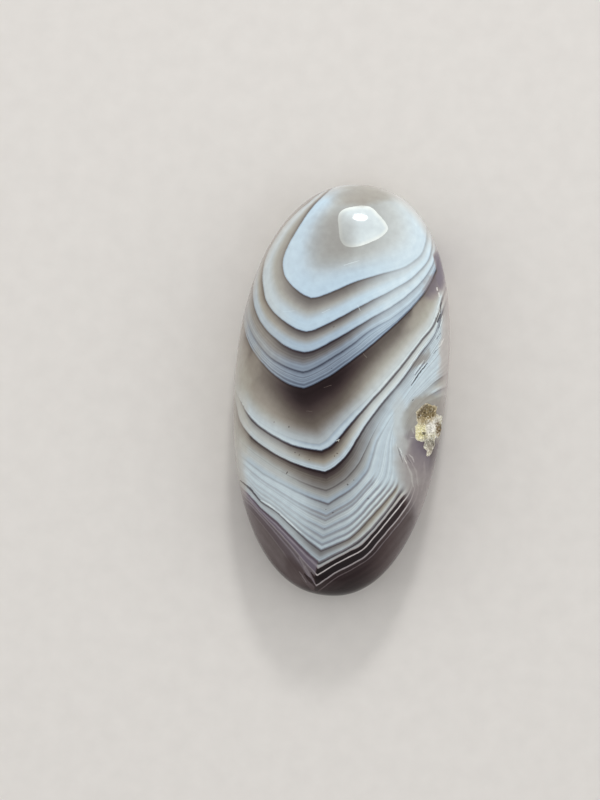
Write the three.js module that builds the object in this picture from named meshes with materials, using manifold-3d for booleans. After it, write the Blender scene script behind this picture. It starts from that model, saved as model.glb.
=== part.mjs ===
// A polished oval cabochon of banded agate: a domed stone with a flat back and a small natural pit in one flank,
// lined with a crust of tiny quartz crystals.
// Millimetres, +Z up. The origin is at the middle of the flat back, the dome rises along +Z and the long axis lies
// along Y.
import * as THREE from "three";
import { mergeVertices } from "three/addons/utils/BufferGeometryUtils.js";
import Module from "manifold-3d";

const wasm = await Module();
wasm.setup();
const { Manifold, Mesh: SolidMesh } = wasm;

// Driving dimensions of the stone.
const LENGTH = 24.0;
const WIDTH = 12.35;
const HEIGHT = 5.6;

// The plan of the girdle: a superellipse, a little wider at its +Y end and bowed a little towards -X.
const FULLNESS = 2.22;
const TAPER = 0.044;
const BOW = 0.28;

// The cross-section: a narrow bevel round the flat back, a soft girdle edge and the dome.
const GIRDLE_HEIGHT = 0.9;
const BEVEL = [
  { inset: 0.6, height: 0 },
  { inset: 0.2, height: 0.32 },
  { inset: 0.04, height: 0.58 },
];
const DOME_FULLNESS = 2.25;

const SEGMENTS = 96;
const DOME_RINGS = 18;

// The pit: lobes of an irregular hollow. Each is centred `across` and `along` the stone, has half-sizes across,
// along and into the flank, and its centre is `lift` above the polished surface.
const PIT_LOBES = [
  { across: 5.17, along: -0.98, half: [0.96, 0.64, 0.92], lift: 0.02, turn: 0.2 },
  { across: 5.22, along: -1.88, half: [1.12, 0.72, 0.66], lift: 0.04, turn: -0.25 },
  { across: 5.5, along: -2.62, half: [0.66, 0.46, 0.4], lift: 0.05, turn: 0.1 },
  { across: 5.5, along: -2.94, half: [0.36, 0.42, 0.34], lift: 0.05, turn: -0.1 },
  { across: 5.84, along: -1.56, half: [0.85, 0.7, 0.45], lift: 0.04, turn: -0.1 },
];
const PIT_DETAIL = 4;
const PIT_ROUGHNESS = 0.07;

// The crust that lines the pit, and how far its edge lies below the polish.
const CRUST_GAP = 0.06;
const CRUST_THICKNESS = 0.13;
const CRUST_RECESS = 0.16;
const CRYSTALS = 36;
const CRYSTAL_RADIUS = [0.08, 0.14];
const CRYSTAL_SIDES = 6;
const SEED = 41;

const halfWidth = WIDTH / 2;
const halfLength = LENGTH / 2;
const domeRise = HEIGHT - GIRDLE_HEIGHT;

// One point of a ring of the stone. The ring is the girdle's plan, scaled or inset to the given half sizes.
function ringPoint(angle, ringHalfWidth, ringHalfLength, height) {
  const power = 2 / FULLNESS;
  const across = Math.sign(Math.cos(angle)) * Math.abs(Math.cos(angle)) ** power;
  const along = Math.sign(Math.sin(angle)) * Math.abs(Math.sin(angle)) ** power;
  const y = ringHalfLength * along;
  const share = y / halfLength;
  const x = ringHalfWidth * across * (1 + TAPER * share) - BOW * (1 - share * share);
  return new THREE.Vector3(x, y, height);
}

// The plan's middle, so that the finished stone is centred on the origin.
function planMiddle() {
  const xs = [];
  for (let i = 0; i < SEGMENTS; i++) {
    xs.push(ringPoint((2 * Math.PI * i) / SEGMENTS, halfWidth, halfLength, 0).x);
  }
  return (Math.min(...xs) + Math.max(...xs)) / 2;
}
const middle = planMiddle();

// How far out a point of the plan is: 0 on the crest of the dome, 1 at the girdle.
function reach(x, y) {
  const share = y / halfLength;
  const across = (x + middle + BOW * (1 - share * share)) / (1 + TAPER * share) / halfWidth;
  return (Math.abs(across) ** FULLNESS + Math.abs(share) ** FULLNESS) ** (1 / FULLNESS);
}

function domeHeight(x, y) {
  const out = Math.min(reach(x, y), 1);
  return GIRDLE_HEIGHT + domeRise * (1 - out ** DOME_FULLNESS) ** (1 / DOME_FULLNESS);
}

function domeNormal(x, y) {
  const step = 0.01;
  const slopeX = (domeHeight(x + step, y) - domeHeight(x - step, y)) / (2 * step);
  const slopeY = (domeHeight(x, y + step) - domeHeight(x, y - step)) / (2 * step);
  return new THREE.Vector3(-slopeX, -slopeY, 1).normalize();
}

// The whole polished stone before the pit: rings from the back's middle up to the crest of the dome.
function stoneBlank() {
  const rings = BEVEL.map(({ inset, height }) => [halfWidth - inset, halfLength - inset, height]);
  for (let i = 0; i < DOME_RINGS; i++) {
    const turn = (Math.PI / 2) * (i / DOME_RINGS);
    const scale = Math.cos(turn) ** (2 / DOME_FULLNESS);
    const height = GIRDLE_HEIGHT + domeRise * Math.sin(turn) ** (2 / DOME_FULLNESS);
    rings.push([halfWidth * scale, halfLength * scale, height]);
  }
  const positions = [];
  for (const [ringHalfWidth, ringHalfLength, height] of rings) {
    for (let i = 0; i < SEGMENTS; i++) {
      const point = ringPoint((2 * Math.PI * i) / SEGMENTS, ringHalfWidth, ringHalfLength, height);
      positions.push(point.x - middle, point.y, point.z);
    }
  }
  const backMiddle = positions.length / 3;
  positions.push(-BOW - middle, 0, 0);
  const crest = backMiddle + 1;
  positions.push(-BOW - middle, 0, HEIGHT);
  const faces = [];
  for (let i = 0; i < SEGMENTS; i++) {
    const next = (i + 1) % SEGMENTS;
    faces.push(backMiddle, next, i);
    for (let ring = 0; ring + 1 < rings.length; ring++) {
      const low = ring * SEGMENTS;
      const high = low + SEGMENTS;
      faces.push(low + i, low + next, high + next, low + i, high + next, high + i);
    }
    const last = (rings.length - 1) * SEGMENTS;
    faces.push(last + i, last + next, crest);
  }
  const geometry = new THREE.BufferGeometry();
  geometry.setAttribute("position", new THREE.Float32BufferAttribute(positions, 3));
  geometry.setIndex(faces);
  return solid(geometry);
}

// A closed three.js geometry as a solid that can be joined and cut.
function solid(geometry) {
  const bare = geometry.clone();
  bare.deleteAttribute("normal");
  bare.deleteAttribute("uv");
  const merged = mergeVertices(bare, 1e-5);
  return new Manifold(
    new SolidMesh({
      numProp: 3,
      vertProperties: new Float32Array(merged.attributes.position.array),
      triVerts: new Uint32Array(merged.index.array),
    }),
  );
}

// A solid as a three.js geometry again.
function geometryOf(made) {
  const { numProp, vertProperties, triVerts } = made.getMesh();
  const positions = [];
  for (let i = 0; i < vertProperties.length; i += numProp) {
    positions.push(vertProperties[i], vertProperties[i + 1], vertProperties[i + 2]);
  }
  const geometry = new THREE.BufferGeometry();
  geometry.setAttribute("position", new THREE.Float32BufferAttribute(positions, 3));
  geometry.setIndex(Array.from(triVerts));
  geometry.computeVertexNormals();
  return geometry;
}

// The turn and place of something that stands on the polished flank.
function flankFrame(across, along, lift, turn) {
  const normal = domeNormal(across, along);
  const seat = new THREE.Vector3(across, along, domeHeight(across, along)).addScaledVector(normal, lift);
  const upright = new THREE.Quaternion().setFromUnitVectors(new THREE.Vector3(0, 0, 1), normal);
  const spin = new THREE.Quaternion().setFromAxisAngle(new THREE.Vector3(0, 0, 1), turn);
  return new THREE.Matrix4().compose(seat, upright.multiply(spin), new THREE.Vector3(1, 1, 1));
}

// One lobe of the hollow, made smaller by `shrink` all round and raised by `raise` out of the flank.
function pitLobe({ across, along, half, lift, turn }, shrink, raise) {
  const geometry = new THREE.IcosahedronGeometry(1, PIT_DETAIL);
  const place = geometry.attributes.position;
  const point = new THREE.Vector3();
  for (let i = 0; i < place.count; i++) {
    point.fromBufferAttribute(place, i);
    const bumps =
      Math.sin(5.1 * point.x + 2.3 * point.z + turn * 9) +
      Math.sin(6.3 * point.y - 3.1 * point.x + turn * 5) +
      Math.sin(7.7 * point.z + 4.2 * point.y);
    const swell = 1 + PIT_ROUGHNESS * bumps;
    place.setXYZ(
      i,
      point.x * (half[0] * swell - shrink),
      point.y * (half[1] * swell - shrink),
      point.z * (half[2] * swell - shrink),
    );
  }
  geometry.applyMatrix4(flankFrame(across, along, lift + raise, turn));
  return solid(geometry);
}

function pitHollow(shrink, raise) {
  return PIT_LOBES.map((lobe) => pitLobe(lobe, shrink, raise)).reduce((all, lobe) => all.add(lobe));
}

// A repeatable stream of numbers from 0 to 1.
function randomStream(seed) {
  let state = seed;
  return () => {
    state = (state * 1664525 + 1013904223) % 4294967296;
    return state / 4294967296;
  };
}

// One stubby quartz point: a six-sided prism with a pyramid on it, rooted in the crust's inner wall.
function crystal(random) {
  const lobe = PIT_LOBES[Math.floor(random() * PIT_LOBES.length)];
  const radius = THREE.MathUtils.lerp(CRYSTAL_RADIUS[0], CRYSTAL_RADIUS[1], random());
  const profile = [
    [0, -2.2],
    [1, -2.2],
    [0.92, 0.5],
    [0, 1.5],
  ].map(([out, up]) => new THREE.Vector2(out * radius, up * radius));
  const geometry = new THREE.LatheGeometry(profile, CRYSTAL_SIDES);
  geometry.rotateX(Math.PI / 2);
  const heading = 2 * Math.PI * random();
  const dip = 0.25 + 1.05 * random();
  const outwards = new THREE.Vector3(
    Math.cos(heading) * Math.cos(dip),
    Math.sin(heading) * Math.cos(dip),
    -Math.sin(dip),
  );
  const wall = lobe.half.map((size) => size - CRUST_GAP - CRUST_THICKNESS);
  const seat = new THREE.Vector3(outwards.x * wall[0], outwards.y * wall[1], outwards.z * wall[2]);
  const lean = new THREE.Vector3(random() - 0.5, random() - 0.5, random() - 0.5).multiplyScalar(0.5);
  const inwards = outwards.clone().negate().add(lean).normalize();
  const upright = new THREE.Quaternion().setFromUnitVectors(new THREE.Vector3(0, 0, 1), inwards);
  geometry.applyMatrix4(new THREE.Matrix4().compose(seat, upright, new THREE.Vector3(1, 1, 1)));
  geometry.applyMatrix4(flankFrame(lobe.across, lobe.along, lobe.lift, lobe.turn));
  return solid(geometry);
}

// The crust: a thin lumpy lining with crystals on it, kept inside the hollow and below the polish.
function crystalCrust(blank) {
  const outside = pitHollow(CRUST_GAP, 0);
  const inside = pitHollow(CRUST_GAP + CRUST_THICKNESS, CRUST_RECESS);
  const random = randomStream(SEED);
  let crust = outside.subtract(inside);
  for (let i = 0; i < CRYSTALS; i++) {
    crust = crust.add(crystal(random));
  }
  const whole = crust.intersect(outside).intersect(blank);
  const pieces = whole.decompose().sort((a, b) => b.volume() - a.volume());
  return pieces[0];
}

const agate = new THREE.MeshStandardMaterial({ color: 0xaab4bb, roughness: 0.12, metalness: 0 });
const druse = new THREE.MeshStandardMaterial({ color: 0xcdbf8c, roughness: 0.5, metalness: 0 });

const blank = stoneBlank();
const stone = new THREE.Mesh(geometryOf(blank.subtract(pitHollow(0, 0))), agate);
stone.name = "cabochon";
const crust = new THREE.Mesh(geometryOf(crystalCrust(blank)), druse);
crust.name = "pit_crystals";

const cabochon = new THREE.Group();
cabochon.name = "agate_cabochon";
cabochon.add(stone, crust);

export default cabochon;
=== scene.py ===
# A polished oval cabochon of banded agate: a flat back, a domed top and a small druse-lined pit in one
# flank.
import math
from collections import namedtuple

import bmesh
import bpy
import numpy as np
from mathutils import Matrix, Vector, noise
from mathutils.bvhtree import BVHTree


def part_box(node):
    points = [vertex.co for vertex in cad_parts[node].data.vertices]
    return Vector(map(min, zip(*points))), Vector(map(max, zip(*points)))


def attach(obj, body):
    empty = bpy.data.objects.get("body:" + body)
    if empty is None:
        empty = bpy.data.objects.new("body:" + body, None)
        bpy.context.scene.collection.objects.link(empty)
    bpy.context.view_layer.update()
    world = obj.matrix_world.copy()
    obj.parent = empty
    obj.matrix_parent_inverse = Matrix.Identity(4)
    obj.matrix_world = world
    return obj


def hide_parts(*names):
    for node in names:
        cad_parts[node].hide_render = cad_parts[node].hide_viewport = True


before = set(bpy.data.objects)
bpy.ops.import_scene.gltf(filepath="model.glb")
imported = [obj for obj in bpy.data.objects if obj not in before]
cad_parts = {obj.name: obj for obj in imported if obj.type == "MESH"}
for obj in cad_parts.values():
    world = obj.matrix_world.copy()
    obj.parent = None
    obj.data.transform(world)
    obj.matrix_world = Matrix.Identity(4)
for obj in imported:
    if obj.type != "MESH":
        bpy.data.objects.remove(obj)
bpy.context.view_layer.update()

# Lengths are in millimetres until a finished mesh is turned to metres.
METRES = 0.001

# Keeps the finished meshes a touch inside the frame's box.
FIT = 0.9998

# Agate and its quartz crystals bend light alike.
QUARTZ_IOR = 1.54

# How close two corners of a cut mesh are when they count as one, how close a face is to a surface that it
# lies on, and the angle in degrees from which an edge of the stone is sharp.
WELD_REACH = 0.0005
ON_SURFACE = 0.001
SHARP_ANGLE = 24

# The stone: a superellipse in plan, a little wider at its +Y end and bowed a little towards -X.
low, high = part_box("cabochon")
LENGTH = (high.y - low.y) / METRES
HEIGHT = (high.z - low.z) / METRES
WIDTH = 12.35
FULLNESS = 2.22
TAPER = 0.044
BOW = 0.28
GIRDLE_HEIGHT = 0.9
BEVEL_INSET = 0.6
BEVEL_CURVE = 2.6
DOME_FULLNESS = 2.25
HALF_WIDTH = WIDTH / 2
HALF_LENGTH = LENGTH / 2
DOME_RISE = HEIGHT - GIRDLE_HEIGHT
OUTLINE_SEGMENTS = 96

# How finely the stone is meshed: cells from its middle out to its flank and to its end, and rings down its
# bevel. The cells of its back are twice as large and end a little inside the bevel.
CELLS_ACROSS = 88
CELLS_ALONG = 176
BEVEL_RINGS = 7
BACK_INSET = BEVEL_INSET + 0.12
PROFILE_POINTS = 4001

# The pit: lobes of an irregular hollow, as in the frame. Each is centred `across` and `along` the stone,
# has half-sizes across, along and into the flank, and its centre is `lift` above the polished surface.
Lobe = namedtuple("Lobe", "across along half lift turn")
PIT_LOBES = [
    Lobe(5.17, -0.98, (0.96, 0.64, 0.92), 0.02, 0.2),
    Lobe(5.22, -1.88, (1.12, 0.72, 0.66), 0.04, -0.25),
    Lobe(5.5, -2.62, (0.66, 0.46, 0.4), 0.05, 0.1),
    Lobe(5.5, -2.94, (0.36, 0.42, 0.34), 0.05, -0.1),
    Lobe(5.84, -1.56, (0.85, 0.7, 0.45), 0.04, -0.1),
]
PIT_CELL = 0.035

# The swell of its lobes: how strong it is, and waves with a pace across, along, inwards and by the lobe's
# turn.
PIT_ROUGHNESS = 0.07
PIT_WAVES = [(5.1, 0, 2.3, 9), (-3.1, 6.3, 0, 5), (0, 4.2, 7.7, 0)]

# The broken edge of the pit: how far and how finely its surface is jagged, coarse and then fine.
PIT_JAGS = [(0.05, 2.3), (0.05, 8.5), (0.03, 17.0)]

# The crust that lines it: its gap to the hollow's wall, its least thickness, and how far it stays below the
# polish. Then how deep its surface lies outside the bowls, how much deeper everywhere, and at least, and
# the strength and fineness of its lumps.
CRUST_GAP = 0.012
CRUST_THICKNESS = 0.05
CRUST_BELOW = 0.012
CRUST_DEPTH = 0.24
CRUST_DROP = 0.02
CRUST_LEAST_DEPTH = 0.03
CRUST_LUMPS = [(0.8, 3.7), (0.6, 9.0)]

# Bowls in the crust: centre and half sizes in pixels of the photograph, and depth.
Bowl = namedtuple("Bowl", "centre half depth")
BOWLS = [
    Bowl((433, 413), (10, 8.5), 0.42),
    Bowl((442.5, 431), (3.4, 7), 0.36),
    Bowl((432, 445), (6, 4), 0.1),
]

# Quartz points on the crust: their number, radius, length in radii, lean, and how far they stay below the
# polish and inside the girdle. A point is rooted half a radius deep and has its shoulder halfway up, a
# little narrower.
QUARTZ_POINTS = 1600
QUARTZ_SEED = 11
QUARTZ_RADIUS = (0.016, 0.05)
QUARTZ_LENGTH = (1.2, 2.8)
QUARTZ_LEAN = 0.7
QUARTZ_BELOW = 0.02
QUARTZ_REACH = 0.99
QUARTZ_SIDES = 6
QUARTZ_ROOT = 0.5
QUARTZ_SHOULDER = (0.5, 0.92)

# How brightly a place of the crust glints in its painted colour, from 0 to 1, where it has no quartz point.
CRUST_GLINT = 0.5

# The photograph's scale, and where and how the stone lies in it.
IMAGE_WIDTH, IMAGE_HEIGHT = 600, 800
MM_PER_PIXEL = 0.058
STONE_PIXEL = (345.24, 390.21)
STONE_LEAN = 0.0934


def ring_point(angle, scale, inset=0.0):
    """Points of a ring of the stone in plan: the girdle's outline, scaled or drawn in."""
    power = 2 / FULLNESS
    across = np.sign(np.cos(angle)) * np.abs(np.cos(angle)) ** power
    along = np.sign(np.sin(angle)) * np.abs(np.sin(angle)) ** power
    y = (HALF_LENGTH * scale - inset) * along
    share = y / HALF_LENGTH
    x = (HALF_WIDTH * scale - inset) * across * (1 + TAPER * share) - BOW * (1 - share ** 2)
    return x, y


girdle_x, _ = ring_point(np.linspace(0, 2 * np.pi, OUTLINE_SEGMENTS + 1), 1.0)
PLAN_MIDDLE = (girdle_x.min() + girdle_x.max()) / 2


def reach(x, y):
    """How far out a point of the plan is: 0 on the crest of the dome, 1 at the girdle."""
    share = y / HALF_LENGTH
    across = (x + PLAN_MIDDLE + BOW * (1 - share ** 2)) / (1 + TAPER * share) / HALF_WIDTH
    return (np.abs(across) ** FULLNESS + np.abs(share) ** FULLNESS) ** (1 / FULLNESS)


def dome_height(x, y):
    out = np.minimum(reach(x, y), 1.0)
    return GIRDLE_HEIGHT + DOME_RISE * (1 - out ** DOME_FULLNESS) ** (1 / DOME_FULLNESS)


def dome_normal(x, y):
    step = 0.01
    slope_x = (dome_height(x + step, y) - dome_height(x - step, y)) / (2 * step)
    slope_y = (dome_height(x, y + step) - dome_height(x, y - step)) / (2 * step)
    return Vector((-slope_x, -slope_y, 1)).normalized()


def from_photo(px, py):
    """The place in plan, in millimetres, of a pixel of the photograph."""
    u = (px - STONE_PIXEL[0]) * MM_PER_PIXEL
    v = (STONE_PIXEL[1] - py) * MM_PER_PIXEL
    x = math.cos(STONE_LEAN) * u - math.sin(STONE_LEAN) * v - PLAN_MIDDLE
    y = math.sin(STONE_LEAN) * u + math.cos(STONE_LEAN) * v
    return np.array((x, y))


def rgb(red, green, blue):
    """A colour as it looks, from 0 to 255, as the linear values that a shader needs."""
    channels = [c / 255 for c in (red, green, blue)]
    return tuple(c / 12.92 if c <= 0.04045 else ((c + 0.055) / 1.055) ** 2.4 for c in channels)


def greys(stops):
    """The stops of a ramp of plain greys."""
    return [(place, (grey, grey, grey)) for place, grey in stops]


# The growth layers of the agate. Each ends at its outer edge: the rim of an eye, or a chevron with a left
# arm, a tip and a right arm. The points are pixels of the photograph, and an arm is read away from its tip.
EYE_RIM = [
    (338, 220), (339, 231), (340.5, 240), (345, 246), (353, 247.4), (364, 245), (376, 240), (384, 234.5),
    (387.8, 228.5), (384, 221), (377, 213), (371, 207.5), (363, 205.8), (353, 207), (344, 209.5),
    (339.5, 213.5),
]
HEART_EDGE = (
    [(303, 294.8), (293, 287), (286, 278), (283, 268), (283.5, 258), (288, 246), (297, 230), (309, 211.5),
     (320, 199), (336, 184)],
    (311, 298.5),
    [(319, 297.2), (335, 291), (355, 282.3), (378, 275.2), (400, 269), (412, 262.5), (421.5, 253.5),
     (426, 240), (427, 222)],
)
FIRST_EDGE = (
    [(295, 328.3), (281, 319), (271, 309), (265, 297), (262.5, 276), (266, 257), (276, 238), (290, 219),
     (310, 201), (325, 189)],
    (306, 332),
    [(316, 329.5), (335, 320.3), (355, 309.6), (375, 299), (395, 288.5), (411, 278.5), (422, 268),
     (428.5, 259), (431.5, 248), (432, 232)],
)
SECOND_EDGE = (
    [(294, 350), (283, 344.5), (272, 335.5), (262, 324), (256, 312), (253.2, 300), (253.3, 285), (256, 265),
     (262, 240)],
    (304, 352.5),
    [(313, 351), (330, 342.5), (350, 331), (370, 319), (390, 307.5), (408, 294.5), (422, 280.5),
     (430.5, 268.5), (434.5, 257), (435.5, 240)],
)
THIRD_EDGE = (
    [(293, 369.3), (281, 364), (269, 356), (258, 343), (251, 331), (247, 318), (245, 300)],
    (303, 372),
    [(311, 369.5), (330, 359), (350, 346), (370, 330.5), (390, 319), (405, 308), (420, 293.5), (431, 276.5),
     (435.5, 264), (437.2, 253), (437.5, 238)],
)
DARK_EDGE = (
    [(291, 385.3), (276, 376.5), (264, 365), (254, 352), (247, 338), (243.3, 320), (242, 300)],
    (304, 388.7),
    [(312, 385.5), (330, 376), (345, 365.5), (363, 352), (380, 338), (400, 320), (415, 304.3),
     (426.5, 289.5), (433, 277.5), (437, 266), (438.7, 255), (439, 240)],
)
FAINT_EDGE = (
    [(308, 443), (290, 438), (275, 431.5), (262, 424), (252, 416), (243, 405), (234, 388)],
    (319, 444.5),
    [(326, 440.5), (335, 431), (350, 415.5), (370, 396.5), (395, 369), (415, 345), (432, 322), (439, 300),
     (447, 275)],
)
CREAM_EDGE = (
    [(298, 447), (280, 439.5), (266, 431), (255, 422.5), (246.5, 412), (241, 400), (233, 378)],
    (321.5, 451.2),
    [(330, 446.8), (340, 437), (352, 422.5), (365, 407.5), (385, 385.5), (403, 364), (420, 342),
     (433, 325.5), (440, 305), (449, 280)],
)
INK_EDGE = (
    [(308, 468), (290, 461.5), (272, 452), (258, 442.5), (247, 432), (240, 420), (236, 404), (231, 380)],
    (325, 472.2),
    [(334, 467.2), (344, 458.2), (352, 447), (362, 430.5), (375, 412), (388, 396), (403, 378), (420, 354),
     (434, 335), (441, 315), (450, 290)],
)
MAUVE_EDGE = (
    [(310, 484.5), (290, 475.5), (268, 462), (250, 449), (238, 438), (228, 425)],
    (326, 489.5),
    [(336, 484.5), (347, 476.3), (358, 463), (365, 449.5), (375, 429), (386, 411), (398, 395), (412, 379),
     (425, 362), (438, 343), (451, 318)],
)
# These edges have matching points, so that the finer layers between two of them follow both.
GREY_EDGE = (
    [(305, 495), (285, 485), (265, 474), (252, 464.5), (243, 457.5), (234, 450), (222, 441)],
    (328, 503.2),
    [(337, 497.5), (350, 489.5), (359.5, 480.5), (367, 470.5), (371.4, 458.6), (375.5, 444), (382, 430.5),
     (391, 416), (401, 402.5), (410, 390), (419, 377.5), (430, 364), (442, 349), (454, 325)],
)
WHITE_EDGE = (
    [(306, 538.5), (291, 524.5), (276, 510.8), (262, 501.5), (252, 490), (243, 482), (230, 474)],
    (321, 549.7),
    [(335, 544), (352, 535.3), (372, 514.5), (394, 489), (398.6, 475), (398.5, 458), (396, 444), (397, 428),
     (403, 414), (412, 402.5), (423, 391.5), (436, 380.5), (448, 372), (460, 362)],
)
LILAC_EDGE = (
    [(303, 553), (288, 537.5), (275, 524), (262, 512), (254, 503.5), (245, 494), (231, 482)],
    (318, 567.7),
    [(335, 557.7), (350, 550), (362, 543), (380, 522.7), (399, 499), (408, 488), (410, 472), (406, 458),
     (402.5, 445), (403, 432), (407.5, 421), (415, 411), (427, 402), (448, 394)],
)
LAST_PALE_EDGE = (
    [(306, 572), (294, 554), (279, 536), (264, 519), (254, 508), (243, 498.5), (229, 487)],
    (316, 585.3),
    [(335, 572.5), (352, 563.5), (367, 554), (381, 537.7), (400, 515), (412.5, 494.5), (415, 476),
     (412, 462), (408, 450), (408, 439), (411, 429), (418, 419), (429, 410), (450, 404)],
)
OUTER_EDGE = (
    [(304, 581), (291, 563), (277, 543), (262, 524), (252, 512), (241, 502), (228, 490)],
    (316, 593),
    [(335, 578), (353, 568), (371, 556), (385, 539.5), (404, 516.5), (416, 497.5), (418.5, 478), (416, 465),
     (412, 454), (411.5, 443), (414, 433), (420, 424), (431, 417), (451, 411)],
)


def between(inner, outer, share):
    """An edge that lies `share` of the way from one edge to another with matching points."""
    def blend(a, b):
        return tuple(p + (q - p) * share for p, q in zip(a, b))
    left = [blend(a, b) for a, b in zip(inner[0], outer[0])]
    right = [blend(a, b) for a, b in zip(inner[2], outer[2])]
    return left, blend(inner[1], outer[1]), right


# A layer has a look on its left arm, at its tip and on its right arm: its tone from 0 to 1 just past the
# edge before it, in its body and at its own edge, and the hue of its outer part, from -1 for mauve over 0
# for cream to 1 for blue. `shadow` is the hue of the shaded part on the left arm, at the tip and on the
# right arm. `run` is the share of the layer at which the shade starts to lift and ends, and at which the
# milk starts and is full. `line` is how dark the line just past the layer's edge is on each arm, `rim` how
# pale the edge itself is, and `streak` how strongly fine lines of its own mark the layer. `arms` is where,
# in shares of ARM_REACH from the line through the tips, the look of the left arm starts and is full, and
# then that of the right arm.
WIDE_ARMS = (0.05, 0.55, 0.3, 0.95)
FAN_ARMS = (0, 0.4, 0, 0.6)
CLOSE_ARMS = (-0.01, 0.03, 0.55, 0.95)
NEAR_RIGHT = (0.05, 0.55, 0.08, 0.8)
Layer = namedtuple("Layer", "edge left tip right shadow run line rim streak arms", defaults=[WIDE_ARMS])


def fan_layer(share, left, tip, right, shadow, line):
    """One of the fine layers that fan out between the grey edge and the white one."""
    edge = between(GREY_EDGE, WHITE_EDGE, share)
    return Layer(edge, left, tip, right, shadow, (0, 0.5, 0.5, 1), line, 0.3, 0.4, FAN_ARMS)


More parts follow.
